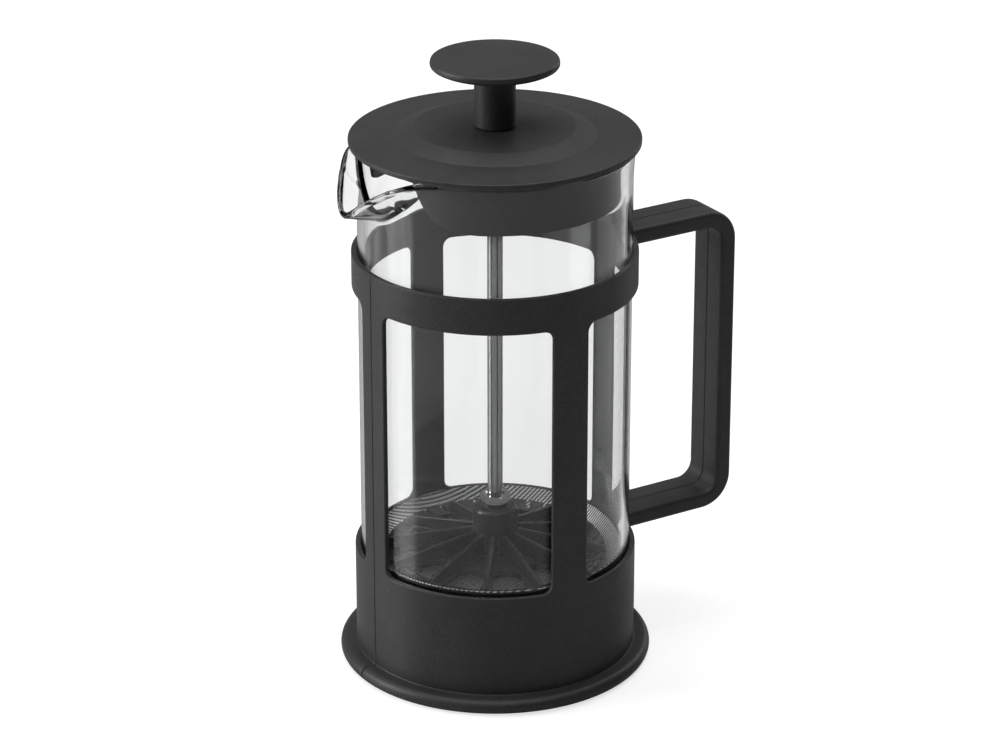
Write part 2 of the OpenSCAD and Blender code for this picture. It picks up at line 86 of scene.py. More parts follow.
def make_camera():
    """The camera looks down at the spout side, from the left of the handle."""
    data = bpy.data.cameras.new("camera")
    data.sensor_width = 36
    data.lens = 137.56
    data.clip_start = 0.05
    data.clip_end = 30
    camera = bpy.data.objects.new("camera", data)
    SCENE.collection.objects.link(camera)
    camera.location = (-0.4768, -0.7718, 0.4590)
    camera.rotation_mode = "QUATERNION"
    forward = Vector((0.4856, 0.7836, -0.38763))
    camera.rotation_quaternion = forward.to_track_quat("-Z", "Y")
    SCENE.camera = camera


# ---- materials -----------------------------------------------------------------------------


class Nodes:
    """A node tree, with a short call to add to it."""

    def __init__(self, tree):
        self.tree = tree
        self.tree.nodes.clear()

    def add(self, kind, inputs=None, **settings):
        """A new node. inputs gives its sockets a value or a link."""
        node = self.tree.nodes.new(kind)
        for key, value in settings.items():
            setattr(node, key, value)
        for key, value in (inputs or {}).items():
            if isinstance(value, bpy.types.NodeSocket):
                self.tree.links.new(value, node.inputs[key])
            else:
                node.inputs[key].default_value = value
        return node


class Surface(Nodes):
    """The node tree of a new material."""

    def __init__(self, name):
        self.material = bpy.data.materials.new(name)
        self.material.use_nodes = True
        super().__init__(self.material.node_tree)
        self.output = self.add("ShaderNodeOutputMaterial")
        self.place = self.add("ShaderNodeTexCoord").outputs["Object"]

    def stretched(self, scale):
        """The object's coordinates, scaled along each axis."""
        return self.add("ShaderNodeMapping", {"Vector": self.place, "Scale": scale}).outputs[0]

    def noise(self, scale, detail=3, roughness=0.5, place=None):
        return self.add("ShaderNodeTexNoise", {
            "Vector": place or self.place, "Scale": scale, "Detail": detail, "Roughness": roughness,
        }).outputs[0]

    def ranged(self, value, low, high, start=0.3, end=0.7):
        return self.add("ShaderNodeMapRange", {
            "Value": value, "From Min": start, "From Max": end, "To Min": low, "To Max": high,
        }).outputs[0]

    def math(self, operation, a, b=0.0):
        return self.add("ShaderNodeMath", {0: a, 1: b}, operation=operation).outputs[0]

    def colour(self, factor, low, high):
        """A colour between low and high."""
        mix = self.add("ShaderNodeMix", data_type="RGBA")
        self.tree.links.new(factor, mix.inputs[0])
        mix.inputs[6].default_value = (*low, 1)
        mix.inputs[7].default_value = (*high, 1)
        return mix.outputs[2]

    def bump(self, height, distance, strength=1.0, normal=None):
        inputs = {"Height": height, "Distance": distance, "Strength": strength}
        if normal is not None:
            inputs["Normal"] = normal
        return self.add("ShaderNodeBump", inputs).outputs[0]

    def finish(self, shader):
        self.tree.links.new(shader, self.output.inputs["Surface"])
        return self.material


def plastic(name, low, high, rough_low, rough_high, grain_depth):
    """Moulded black plastic: a fine sparked grain over a slightly uneven tone."""
    n = Surface(name)
    tone = n.noise(90, detail=5, roughness=0.62)
    specks = n.noise(2700, detail=1)
    shade = n.math("ADD", n.ranged(tone, 0, 0.35), n.ranged(specks, 0, 0.65))
    grain = n.noise(2100, detail=2)
    fine = n.noise(5200, detail=1)
    normal = n.bump(grain, grain_depth, 0.55)
    normal = n.bump(fine, grain_depth / 3, 0.5, normal)
    return n.finish(n.add("ShaderNodeBsdfPrincipled", {
        "Base Color": n.colour(shade, low, high),
        "Roughness": n.ranged(grain, rough_low, rough_high),
        "IOR": 1.49,
        "Normal": normal,
    }).outputs[0])


def steel(name, low, high, rough_low, rough_high, stretch, depth):
    """Bare steel with fine drawn lines along one direction."""
    n = Surface(name)
    place = n.stretched(stretch)
    lines = n.noise(1.0, detail=3, place=place)
    cloud = n.noise(300, detail=3)
    return n.finish(n.add("ShaderNodeBsdfPrincipled", {
        "Base Color": n.colour(n.ranged(lines, 0, 1), low, high),
        "Metallic": 1.0,
        "Roughness": n.ranged(cloud, rough_low, rough_high),
        "Normal": n.bump(lines, depth, 0.6),
    }).outputs[0])


def brass():
    n = Surface("brass_insert")
    lines = n.noise(1.0, detail=2, place=n.stretched((900, 900, 6000)))
    return n.finish(n.add("ShaderNodeBsdfPrincipled", {
        "Base Color": n.colour(n.ranged(lines, 0, 1), (0.52, 0.36, 0.14), (0.70, 0.52, 0.24)),
        "Metallic": 1.0,
        "Roughness": n.ranged(lines, 0.24, 0.36),
        "Normal": n.bump(lines, 0.00002, 0.5),
    }).outputs[0])


def glass():
    """Clear drawn glass: faint waves along its height. Lamps shine through it."""
    n = Surface("beaker_glass")
    waves = n.noise(1.0, detail=1, place=n.stretched((110, 110, 14)))
    tint = n.colour(n.ranged(waves, 0, 1), (0.875, 0.88, 0.88), (0.90, 0.905, 0.905))
    body = n.add("ShaderNodeBsdfPrincipled", {
        "Base Color": tint,
        "Roughness": 0.0,
        "IOR": 1.47,
        "Transmission Weight": 1.0,
        "Normal": n.bump(waves, 0.00006, 0.35),
    }).outputs[0]
    clear = n.add("ShaderNodeBsdfTransparent", {"Color": (0.86, 0.87, 0.87, 1)}).outputs[0]
    shadow = n.add("ShaderNodeLightPath").outputs["Is Shadow Ray"]
    return n.finish(n.add("ShaderNodeMixShader", {0: shadow, 1: body, 2: clear}).outputs[0])


WIRE_PITCH = 0.00062


def woven():
    """Woven steel wire: two crossing sets of wires that pass over and under each other."""
    n = Surface("mesh_steel")
    slanted = n.add("ShaderNodeMapping", {"Vector": n.place, "Rotation": (0, 0, pi / 4)}).outputs[0]
    axes = n.add("ShaderNodeSeparateXYZ", {0: slanted})
    phase_x = n.math("MULTIPLY", axes.outputs[0], pi / WIRE_PITCH)
    phase_y = n.math("MULTIPLY", axes.outputs[1], pi / WIRE_PITCH)
    sin_x, sin_y = n.math("SINE", phase_x), n.math("SINE", phase_y)
    cos_x, cos_y = n.math("COSINE", phase_x), n.math("COSINE", phase_y)
    # each wire is round across its width, and rises and falls along its length
    wire_x = n.math("SUBTRACT", n.math("ABSOLUTE", sin_x), n.math("MULTIPLY", n.math(
        "MULTIPLY", cos_y, n.math("SIGN", sin_x)), 0.5))
    wire_y = n.math("ADD", n.math("ABSOLUTE", sin_y), n.math("MULTIPLY", n.math(
        "MULTIPLY", cos_x, n.math("SIGN", sin_y)), 0.5))
    height = n.math("MAXIMUM", wire_x, wire_y)
    # painted shade: the wires' base colour runs from near black, and less metallic, where they dip
    # under the crossing wires, down their sides and between them, to pale steel on their crowns
    tone = n.ranged(height, 0, 1, 0.55, 1.25)
    return n.finish(n.add("ShaderNodeBsdfPrincipled", {
        "Base Color": n.colour(tone, (0.02, 0.02, 0.021), (0.80, 0.80, 0.81)),
        "Metallic": n.ranged(height, 0.5, 1.0, 0.6, 0.9),
        "Roughness": n.ranged(n.noise(900), 0.26, 0.40),
        "Normal": n.bump(height, 0.00009, 0.7),
    }).outputs[0])


FLOOR_GLOW = 0.70


def floor_paint():
    """Glossy white. It glows where it is seen straight or through glass, not in reflections."""
    n = Surface("floor_white")
    cloud = n.noise(3, detail=3)
    paint = n.add("ShaderNodeBsdfPrincipled", {
        "Base Color": n.colour(n.ranged(cloud, 0, 1), (0.55, 0.55, 0.55), (0.56, 0.56, 0.56)),
        "Roughness": n.ranged(n.noise(40), 0.10, 0.14),
        "IOR": 1.6,
    }).outputs[0]
    path = n.add("ShaderNodeLightPath").outputs
    bounces = n.math("ADD", path["Glossy Depth"], path["Diffuse Depth"])
    straight = n.math("LESS_THAN", bounces, 0.5)
    strength = n.math("MULTIPLY", straight, FLOOR_GLOW)
    glow = n.add("ShaderNodeEmission", {"Strength": strength}).outputs[0]
    return n.finish(n.add("ShaderNodeAddShader", {0: paint, 1: glow}).outputs[0])


BLACK = plastic(
    "black_plastic", (0.017, 0.017, 0.0173), (0.044, 0.044, 0.0446), 0.42, 0.56, 0.000026)
FILTER_BLACK = plastic(
    "filter_plastic", (0.0135, 0.0135, 0.0138), (0.0155, 0.0155, 0.0158), 0.26, 0.34, 0.000002)
GLASS = glass()
ROD_STEEL = steel(
    "rod_steel", (0.34, 0.34, 0.35), (0.55, 0.55, 0.56), 0.14, 0.24, (3600, 3600, 26), 0.00002)
NUT_STEEL = steel(
    "nut_steel", (0.62, 0.62, 0.63), (0.80, 0.80, 0.81), 0.10, 0.18, (700, 700, 4200), 0.00001)
WOVEN = woven()
BRASS = brass()


# ---- mesh building -------------------------------------------------------------------------


def rounded(corners, closed=False, steps=6):
    """The outline through corners (r, z, radius), each corner rounded by its own radius."""
    points = []
    count = len(corners)
    for i, corner in enumerate(corners):
        here = Vector(corner[:2])
        radius = corner[2] if len(corner) > 2 else 0
        if radius == 0 or (not closed and i in (0, count - 1)):
            points.append(tuple(here))
            continue
        back = Vector(corners[i - 1][:2]) - here
        ahead = Vector(corners[(i + 1) % count][:2]) - here
        half = back.angle(ahead) / 2
        reach = min(radius / tan(half), 0.499 * back.length, 0.499 * ahead.length)
        radius = reach * tan(half)
        back.normalize()
        ahead.normalize()
        centre = here + (back + ahead).normalized() * (radius / sin(half))
        start, end = here + back * reach - centre, here + ahead * reach - centre
        first = atan2(start.y, start.x)
        sweep = (atan2(end.y, end.x) - first + pi) % (2 * pi) - pi
        for k in range(steps + 1):
            a = first + sweep * k / steps
            points.append((centre.x + radius * cos(a), centre.y + radius * sin(a)))
    return points


def grid(rows, around=False, closed=False):
    """Faces over rows of points. around joins each row's ends, closed the last row to the first."""
    width = len(rows[0])
    points = [p for row in rows for p in row]
    faces = []
    for j in range(len(rows) if closed else len(rows) - 1):
        low, high = j * width, (j + 1) % len(rows) * width
        for i in range(width if around else width - 1):
            k = (i + 1) % width
            faces.append((low + i, low + k, high + k, high + i))
    return points, faces


def turned(outline, closed=False, angles=128, turn=0.0):
    """An outline of (r, z) points turned about Z. angles is a count or a list of directions."""
    if isinstance(angles, int):
        angles = [2 * pi * i / angles for i in range(angles)]
    rows = [[(r * cos(a + turn), r * sin(a + turn), z) for a in angles] for r, z in outline]
    return grid(rows, around=True, closed=closed)


def joined(*parts):
    """Several (points, faces) as one."""
    points, faces = [], []
    for more_points, more_faces in parts:
        faces += [tuple(len(points) + i for i in face) for face in more_faces]
        points += more_points
    return points, faces


def rotated(part, angle):
    """A part turned about Z."""
    c, s = cos(angle), sin(angle)
    return [(x * c - y * s, x * s + y * c, z) for x, y, z in part[0]], part[1]


def capped(rows):
    """A closed skin over rings of points, with a face on each end."""
    points, faces = grid(rows, around=True)
    width = len(rows[0])
    last = (len(rows) - 1) * width
    faces.append(tuple(reversed(range(width))))
    faces.append(tuple(range(last, last + width)))
    return points, faces


def piece(name, part, material, body, slot, *nodes, sharp=38):
    """Makes one piece of the object, smooth but for edges sharper than the given angle."""
    data = bpy.data.meshes.new(name)
    data.from_pydata([(x * MM, y * MM, z * MM) for x, y, z in part[0]], [], part[1])
    work = bmesh.new()
    work.from_mesh(data)
    bmesh.ops.remove_doubles(work, verts=work.verts, dist=0.0000008)
    bmesh.ops.dissolve_degenerate(work, edges=work.edges, dist=0.0000004)
    bmesh.ops.recalc_face_normals(work, faces=work.faces)
    work.to_mesh(data)
    work.free()
    data.materials.append(material)
    data.shade_smooth()
    data.set_sharp_from_angle(angle=radians(sharp))
    made = bpy.data.objects.new(name, data)
    SCENE.collection.objects.link(made)
    normals = made.modifiers.new("even_normals", "WEIGHTED_NORMAL")
    normals.keep_sharp = True
    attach(made, body)
    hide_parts(*nodes)


# ---- holder --------------------------------------------------------------------------------

CAGE_IN_R = 35.2
CAGE_R = 36.6
CUP_Z = 31.2
RING_Z = 103.2
CAGE_Z = 112.7
POST_W = 10.4
WINDOW_R = 2.5
EDGE_R = 0.45
BASE_R = HOLDER_HIGH.y
RIM_H = 3.9
STAND_W = 4.2
FLOOR_HOLE_R = 9.0
FLOOR_T = 1.8
FLOOR_Z = GLASS_LOW.z
SEAM_HALF = 0.24
SEAM_DEPTH = 0.28
CELL_HALF = CAGE_R * pi / 4
WINDOW_HALF = CELL_HALF - CAGE_R * asin(POST_W / 2 / CAGE_R)
CORNER_STEPS = 12
TOP_STEPS = 24
SIDE_STEPS = 10
GRID_LOW = RIM_H + 0.6
GRID_HIGH = CAGE_Z - EDGE_R


def corner_ways():
    """A window's corners, anticlockwise from the upper right: signs of s and z, first angle."""
    return [(1, 1, 0), (-1, 1, 90), (-1, -1, 180), (1, -1, 270)]


def window_ring(grow):
    """A window's outline, grown by a distance, as (s, z), with s the arc length from its middle."""
    half, low, high, r = WINDOW_HALF + grow, CUP_Z - grow, RING_Z + grow, WINDOW_R + grow
    arcs = []
    for sign_s, sign_z, first in corner_ways():
        cs = sign_s * (half - r)
        cz = high - r if sign_z > 0 else low + r
        turn = [radians(first + 90 * k / CORNER_STEPS) for k in range(CORNER_STEPS + 1)]
        arcs.append([(cs + r * cos(a), cz + r * sin(a)) for a in turn])
    return between_arcs(arcs)


def cell_ring():
    """The outline of the field round one window, with one point for each point of window_ring."""
    half = CORNER_STEPS // 2
    along = CELL_HALF - (WINDOW_HALF - WINDOW_R)
    across = [0] + [SEAM_HALF + (along - SEAM_HALF) * j / (half - 1) for j in range(half)]
    arcs = []
    for sign_s, sign_z, _ in corner_ways():
        edge_z = GRID_HIGH if sign_z > 0 else GRID_LOW
        reach = (RING_Z - WINDOW_R if sign_z > 0 else CUP_Z + WINDOW_R) - edge_z
        side = [(sign_s * CELL_HALF, edge_z + reach * j / half) for j in range(half + 1)]
        level = [(sign_s * (CELL_HALF - d), edge_z) for d in across]
        first, second = (side, level) if sign_s * sign_z > 0 else (level, side)
        arcs.append(first[:0:-1] + second)
    return between_arcs(arcs)


def between_arcs(arcs):
    """Joins four corner arcs by straight rows of points."""
    ring = []
    for i, arc in enumerate(arcs):
        ring += arc
        steps = TOP_STEPS if i % 2 == 0 else SIDE_STEPS
        (s0, z0), (s1, z1) = arc[-1], arcs[(i + 1) % 4][0]
        ring += [(s0 + (s1 - s0) * k / steps, z0 + (z1 - z0) * k / steps) for k in range(1, steps)]
    return ring


def cage_cell(middle):
    """The wall round one window, from its outer face through the window's edge to its inner face."""
    wall = CAGE_R - CAGE_IN_R
    inner, outer = window_ring(EDGE_R), cell_ring()
    near = 1 - SEAM_HALF / (CELL_HALF - WINDOW_HALF - EDGE_R)
    rings = []
    for f in (1, near, 0.72, 0.44, 0.2, 0.06):
        rings.append((mixed(inner, outer, f), 0))
    for k in range(6):
        a = pi / 2 * k / 5
        rings.append((window_ring(EDGE_R * (1 - sin(a))), EDGE_R * (1 - cos(a))))
    for k in range(6):
        a = pi / 2 * k / 5
        rings.append((window_ring(EDGE_R * (1 - cos(a))), wall - EDGE_R * (1 - sin(a))))
    for f in (0.06, 0.2, 0.5, 1):
        rings.append((mixed(inner, outer, f), wall))
    rows = []
    for ring, depth in rings:
        r = CAGE_R - depth
        rows.append([
            (r * cos(middle + s / CAGE_R), r * sin(middle + s / CAGE_R), z) for s, z in ring
        ])
    return grid(rows, around=True)


def mixed(a, b, f):
    return [(p[0] + (q[0] - p[0]) * f, p[1] + (q[1] - p[1]) * f) for p, q in zip(a, b)]


def holder_directions():
    """The directions of all points on the cage's upper and lower edges."""
    row = sorted({round(s, 9) for s, z in cell_ring() if z == GRID_HIGH})
    return [i * pi / 2 + pi / 4 + s / CAGE_R for i in range(4) for s in row[:-1]]


def holder_cage():
    """Cup, posts, ring and base as one skin."""
    cells = [cage_cell(i * pi / 2 + pi / 4) for i in range(4)]
    ways = holder_directions()
    ring_top = rounded([
        (CAGE_R, GRID_HIGH), (CAGE_R, CAGE_Z, EDGE_R), (CAGE_IN_R, CAGE_Z, EDGE_R),
        (CAGE_IN_R, GRID_HIGH)
    ])
    bead_r = RIM_H / 2
    stand_in, under_z = BASE_R - bead_r - STAND_W, FLOOR_Z - FLOOR_T
    base = rounded([
        (CAGE_R, GRID_LOW), (CAGE_R, RIM_H, 0.5), (BASE_R, RIM_H, bead_r - 0.02),
        (BASE_R, 0, bead_r - 0.02), (stand_in, 0, 0.4), (stand_in, under_z, 0.6),
        (FLOOR_HOLE_R, under_z, 0.4), (FLOOR_HOLE_R, FLOOR_Z, 0.4), (CAGE_IN_R, FLOOR_Z, 0.4),
        (CAGE_IN_R, GRID_LOW)
    ], steps=8)
    points, faces = joined(
        *cells, turned(ring_top, angles=ways), turned(base, angles=ways)
    )
    return [seam_moved(p) for p in points], faces


def seam_moved(p):
    """Sinks the points on the mould's parting line, on the spout's side."""
    x, y, z = p
    if x > 0 or abs(y) > 0.001 or -x < CAGE_IN_R + 0.4:
        return p
    if z < RIM_H + 0.01:
        if -x > CAGE_R + 0.5 and z > RIM_H / 2:
            z -= SEAM_DEPTH
        return (min(x + 1.4 * SEAM_DEPTH, -CAGE_R - 0.1), y, z)
    return (x + SEAM_DEPTH, y, z)


STRIP_T = 4.5
STRIP_W = 13.5
STRIP_EDGE_R = 1.25
GRIP_X = HOLDER_HIGH.x
UPPER_ARM_Z = 109.75
LOWER_ARM_Z = 29.55
BEND_R = 4.2


def strip_section():
    """The handle's section as (across its thickness, across its width), each face with a seam."""
    t, w = STRIP_T / 2, STRIP_W / 2
    section = []
    for side in (1, -1):
        seam = [
            (side * t, -side * SEAM_HALF), (side * (t - SEAM_DEPTH), 0), (side * t, side * SEAM_HALF)
        ]
        turn = [radians(90 * k / 6) for k in range(7)]
        r = STRIP_EDGE_R
        before = [(side * (t - r + r * sin(a)), side * (-w + r - r * cos(a))) for a in turn]
        after = [(u, -v) for u, v in reversed(before)]
        section += before + seam + after
    return section


def holder_handle():
    """The handle's strip, swept along two arms, two bends and the grip."""
    start_x = (CAGE_R + CAGE_IN_R) / 2 - 0.3
    radius = BEND_R + STRIP_T / 2
    bend_x = GRIP_X - STRIP_T - BEND_R
    path = []  # x, z and the direction of the outer face
    for k in range(5):
        path.append((start_x + (bend_x - start_x) * k / 5, UPPER_ARM_Z, pi / 2))
    for k in range(13):
        a = pi / 2 * (1 - k / 12)
        path.append((bend_x + radius * cos(a), UPPER_ARM_Z - radius + radius * sin(a), a))
    for k in range(1, 8):
        z = UPPER_ARM_Z - radius + (LOWER_ARM_Z - UPPER_ARM_Z + 2 * radius) * k / 8
        path.append((bend_x + radius, z, 0))
    for k in range(13):
        a = -pi / 2 * k / 12
        path.append((bend_x + radius * cos(a), LOWER_ARM_Z + radius + radius * sin(a), a))
    for k in range(1, 6):
        path.append((bend_x + (start_x - bend_x) * k / 5, LOWER_ARM_Z, -pi / 2))
    rows = [[(x + u * cos(a), v, z + u * sin(a)) for u, v in strip_section()] for x, z, a in path]
    return capped(rows)


# ---- beaker --------------------------------------------------------------------------------

FLARE = 0.6
GLASS_R = GLASS_HIGH.y - FLARE
BORE_R = 33.2
GLASS_FLOOR = 2.4
FOOT_R = 4.0
RIM_Z = GLASS_HIGH.z
FLARE_H = 9.0
SPOUT_HALF_ANGLE = radians(42)
SPOUT_Z = 127.2  # underside of the spout where it leaves the wall
SPOUT_RISE = 0.22  # and how much it rises for each millimetre outwards
SPOUT_T = 1.5
APEX_X = GLASS_LOW.x - 2.5
LIP_R = 19.9
LIP_X = -25.9
LIP_Z = 122.7
BEAD_R = 0.85
MIN_BEAD_R = 0.78
BEAD_TO_WALL = 1.07  # the bead is a little thicker than the wall
BOTTOM_RISE = 0.5  # the middle of the bottom stands clear of the holder
BOTTOM_R = 20
BOTTOM_RING_R = 25
WALL_STEPS = 56
SPOUT_LOW_Z = 117.0


def glass_directions():
    """Directions round the glass, close together at the spout."""
    offsets = [0.5 * k for k in range(32)]
    offsets += [16 + k for k in range(30)]
    offsets += [46 + 2.68 * k for k in range(51)]
    half = [radians(a) for a in offsets if a < 179]
    return sorted([pi - a for a in half] + [pi + a for a in half if a > 0])


def trough_rise(x, y):
    """Height of the spout's cone above its lowest line, x ahead of its point and y aside."""
    if x <= 0.01:
        return 1000.0
    a, b, c = cos(2 * SPOUT_HALF_ANGLE), sin(2 * SPOUT_HALF_ANGLE), cos(SPOUT_HALF_ANGLE) ** 2
    inside = (b * x) ** 2 - 4 * a * c * y * y
    return (b * x - sqrt(inside)) / (2 * a) if inside > 0 else 1000.0


def lip_height(x):
    """Height of the rim and the lip's curve, less the bead that ends them."""
    top = RIM_Z - BEAD_R
    r = LIP_R - BEAD_R
    if x >= LIP_X:
        return top
    inside = r * r - (x - LIP_X) ** 2
    return min(top, LIP_Z + sqrt(inside)) if inside > 0 else 0.0


def wall_path(way, wall_r, inset):
    """One face of the glass in one direction, from below the spout up to the rim."""
    apex_x = APEX_X + inset / tan(SPOUT_HALF_ANGLE)
    c, s = cos(way), sin(way)

    def radius(z):
        return wall_r + FLARE * max(0, (z - RIM_Z + FLARE_H) / FLARE_H) ** 1.5

    def trough(r):
        if c >= 0:
            return RIM_Z
        level = SPOUT_Z + inset + SPOUT_RISE * max(0, -r * c - GLASS_R)
        return level + trough_rise(r * c - apex_x, r * s)

    path = []
    z = SPOUT_LOW_Z
    step = 0.1
    while z < min(trough(radius(z)), lip_height(radius(z) * c)):
        path.append((radius(z), z))
        z += step
    r = radius(z)
    while c < 0 and trough(r) < lip_height(r * c):
        path.append((r, max(trough(r), path[-1][1])))
        r += step
    return evenly(path, WALL_STEPS)


def evenly(path, count):
    """The same path with evenly spaced points."""
    lengths = [0.0]
    for a, b in zip(path, path[1:]):
        lengths.append(lengths[-1] + hypot(b[0] - a[0], b[1] - a[1]))
    points, j = [], 0
    for k in range(count):
        target = lengths[-1] * k / (count - 1)
        while j < len(path) - 2 and lengths[j + 1] < target:
            j += 1
        span = lengths[j + 1] - lengths[j]
        f = (target - lengths[j]) / span if span else 0
        points.append(tuple(path[j][n] + (path[j + 1][n] - path[j][n]) * f for n in (0, 1)))
    return points


def eased(columns, rounds):
    """Softens the kinks between wall, spout and lip. The lowest row stays where it is."""
    count, last = len(columns), len(columns[0]) - 1
    for _ in range(rounds):
        fresh = []
        for i, column in enumerate(columns):
            left, right = columns[i - 1], columns[(i + 1) % count]
            new = [column[0]]
            for k in range(1, last + 1):
                sides = [left[k], right[k]]
                if k < last:
                    sides += [column[k - 1], column[k + 1]]
                new.append(tuple(
                    0.5 * column[k][n] + 0.5 * sum(p[n] for p in sides) / len(sides) for n in (0, 1)
                ))
            fresh.append(new)
        columns = fresh
    return columns


def bead(outer, inner):
    """The fire-polished edge between the ends of the outer and the inner path."""
    tip_out, tip_in = Vector(outer[-1]), Vector(inner[-1])
    centre = (tip_out + tip_in) / 2
    across = (tip_out - tip_in).normalized()
    ahead = (tip_out - Vector(outer[-4])).normalized() + (tip_in - Vector(inner[-4])).normalized()
    ahead = (ahead - across * ahead.dot(across)).normalized()
    radius = max(MIN_BEAD_R, BEAD_TO_WALL * (tip_out - tip_in).length / 2)
    first = pi - asin(min(1, (tip_out - tip_in).length / 2 / radius))
    points = []
    for k in range(15):
        a = first - 2 * first * k / 14
        p = centre + (ahead * cos(a) + across * sin(a)) * radius
        points.append((p.x, p.y))
    return points


def glass_beaker():
    """The whole glass as one skin, turned direction by direction."""
    ways = glass_directions()
    outer = eased([wall_path(a, GLASS_R, 0) for a in ways], 7)
    inner = eased([wall_path(a, BORE_R, SPOUT_T) for a in ways], 7)
    inner_foot = FOOT_R - 0.9
    floor_z = GLASS_LOW.z + GLASS_FLOOR
    below = rounded([
        (0, GLASS_LOW.z + BOTTOM_RISE), (BOTTOM_R, GLASS_LOW.z + BOTTOM_RISE, 3),
        (BOTTOM_RING_R, GLASS_LOW.z, 3),
        (GLASS_R, GLASS_LOW.z, FOOT_R), (GLASS_R, 30), (GLASS_R, 60), (GLASS_R, 90)
    ], steps=8)
    inside = rounded([
        (BORE_R, 90), (BORE_R, 60), (BORE_R, 30), (BORE_R, floor_z, inner_foot), (0, floor_z)
    ], steps=8)
    rows = []
    for way, out_path, in_path in zip(ways, outer, inner):
        line = below + out_path[:-1] + bead(out_path, in_path) + in_path[-2::-1] + inside
        rows.append([(r * cos(way), r * sin(way), z) for r, z in line])
    return grid(rows, closed=True)


# ---- lid -----------------------------------------------------------------------------------

LID_EDGE_T = 1.4
HOLE_R = 2.05
CROWN_R = 20.4
CROWN_FOOT_R = 25.7
CROWN_WALL = 1.6
BRIM_RISE = 0.6
SPIGOT_R = 29.9
SPIGOT_IN_R = 28.5
SNAP_R = 30.3
GUIDE_R = 4.5
GUIDE_H = 6
CROWN_STEP = 0.4  # the crown's inner corners are further in than its outer ones
LID_UNDER_Z = LID_HIGH.z - 4.0


def lid_cover():
    lid_r, top = LID_HIGH.y, LID_HIGH.z
    brim_z = LID_UNDER_Z + LID_EDGE_T
    foot_z = brim_z + BRIM_RISE
    outline = rounded([
        (HOLE_R, top, 0.25), (CROWN_R, top, 1.6), (CROWN_FOOT_R, foot_z, 1.6),
        (lid_r, brim_z, 0.32), (lid_r, LID_UNDER_Z, 0.4),
        (SPIGOT_R, LID_UNDER_Z, 0.2), (SPIGOT_R, LID_LOW.z + 1.2, 0.1),
        (SNAP_R, LID_LOW.z + 0.9, 0.15), (SNAP_R, LID_LOW.z + 0.5, 0.15),
        (SPIGOT_R, LID_LOW.z, 0.15), (SPIGOT_IN_R, LID_LOW.z, 0.3),
        (SPIGOT_IN_R, LID_UNDER_Z, 0.3), (CROWN_FOOT_R - CROWN_STEP, LID_UNDER_Z, 1),
        (CROWN_R - CROWN_STEP, top - CROWN_WALL, 1), (GUIDE_R, top - CROWN_WALL, 0.3),
        (GUIDE_R, top - GUIDE_H, 0.3), (HOLE_R, top - GUIDE_H, 0.2)
    ], closed=True)
    return turned(outline, closed=True, angles=160)


SKIRT_R = SKIRT_HIGH.y
SKIRT_T = 1.4
SKIRT_IN_R = SKIRT_R - SKIRT_T
SKIRT_EDGE_R = 0.35
GAP_TOP = radians(20)
GAP_LOW = radians(36.5)
GAP_CORNER = radians(18)
GAP_TURN = radians(-4.5)
GAP_FADE = 0.07  # share of the height in which the round lower corners fade out
SHOULDER_R = SPIGOT_R + 0.5
SHOULDER_H = 2.0


def lid_skirt():
    """The skirt, open at the spout: the opening is wider at its lower edge."""
    low, high = SKIRT_LOW.z, SKIRT_HIGH.z
    levels = (0.6, 1.0, 1.5, 2.1, 3.0, 4.2, 6.0, 8.5)
    section = rounded([
        (SKIRT_R, low, SKIRT_EDGE_R), *[(SKIRT_R, low + up) for up in levels],
        (SKIRT_R, high, SKIRT_EDGE_R), (SHOULDER_R, high, 0.2),
        (SHOULDER_R, high - SHOULDER_H, 0.1), (SKIRT_IN_R, high - SHOULDER_H - 0.2, 0.1),
        *[(SKIRT_IN_R, low + up) for up in reversed(levels)], (SKIRT_IN_R, low, SKIRT_EDGE_R)
    ], closed=True)

    def half_gap(z):
        """Half of the opening at a height. Its lower corners are round."""
        up = (z - low) / (high - low)
        return GAP_LOW + (GAP_TOP - GAP_LOW) * up + GAP_CORNER * exp(-up / GAP_FADE)

    mid_r, mid_z = SKIRT_R - SKIRT_T / 2, (low + high) / 2
    rows = []
    steps = 120
    for i in range(steps + 1):
        row = []
        f = i / steps
        inset = 0.35 if i in (0, steps) else 0  # the end faces are drawn in, so their edges are soft
        for r, z in section:
            gap = half_gap(z)
            way = pi + GAP_TURN + gap + (2 * pi - 2 * gap) * f
            reach = r + (mid_r - r) * inset
            row.append((reach * cos(way), reach * sin(way), z + (mid_z - z) * inset * 0.02))
        rows.append(row)
    return capped(rows)


# ---- plunger -------------------------------------------------------------------------------

STEM_R = 5.25
KNOB_EDGE_T = 2.2
KNOB_DOME = 0.7
KNOB_UNDER = 1.4
INSERT_R = 3.25


def knob():
    top, r = KNOB_HIGH.z, KNOB_HIGH.y
    edge_z = top - KNOB_DOME
    under = edge_z - KNOB_EDGE_T
    flat_r = r - KNOB_EDGE_T / 2
    steps = 14
    dome = [(flat_r * k / steps, top - KNOB_DOME * (k / steps) ** 2) for k in range(steps)]
    rest = rounded([
        dome[-1], (flat_r + 0.9, edge_z - 0.05, 1.4), (r, edge_z - 0.75, 0.9), (r, under + 0.55, 0.8),
        (flat_r, under, 0.8), (STEM_R, under - KNOB_UNDER, 1.1), (STEM_R, KNOB_LOW.z, 0.35),
        (HOLE_R, KNOB_LOW.z, 0.2), (HOLE_R, KNOB_INSERT_LOW.z), (INSERT_R, KNOB_INSERT_LOW.z),
        (INSERT_R, KNOB_INSERT_HIGH.z), (0, KNOB_INSERT_HIGH.z)
    ])
    return turned(dome + rest[1:], angles=160)


def plunger_rod():
    r = ROD_HIGH.y
    outline = rounded([
        (0, ROD_LOW.z), (r, ROD_LOW.z, 0.5), (r, 50), (r, 100), (r, ROD_HIGH.z, 0.5),
        (0, ROD_HIGH.z)
    ])
    return turned(outline, angles=64)


FILTER_TURN = radians(-7)
NUT_HALF = 3.5
NUT_FACE_R = NUT_HALF + 0.28
NUT_CHAMFER = radians(30)


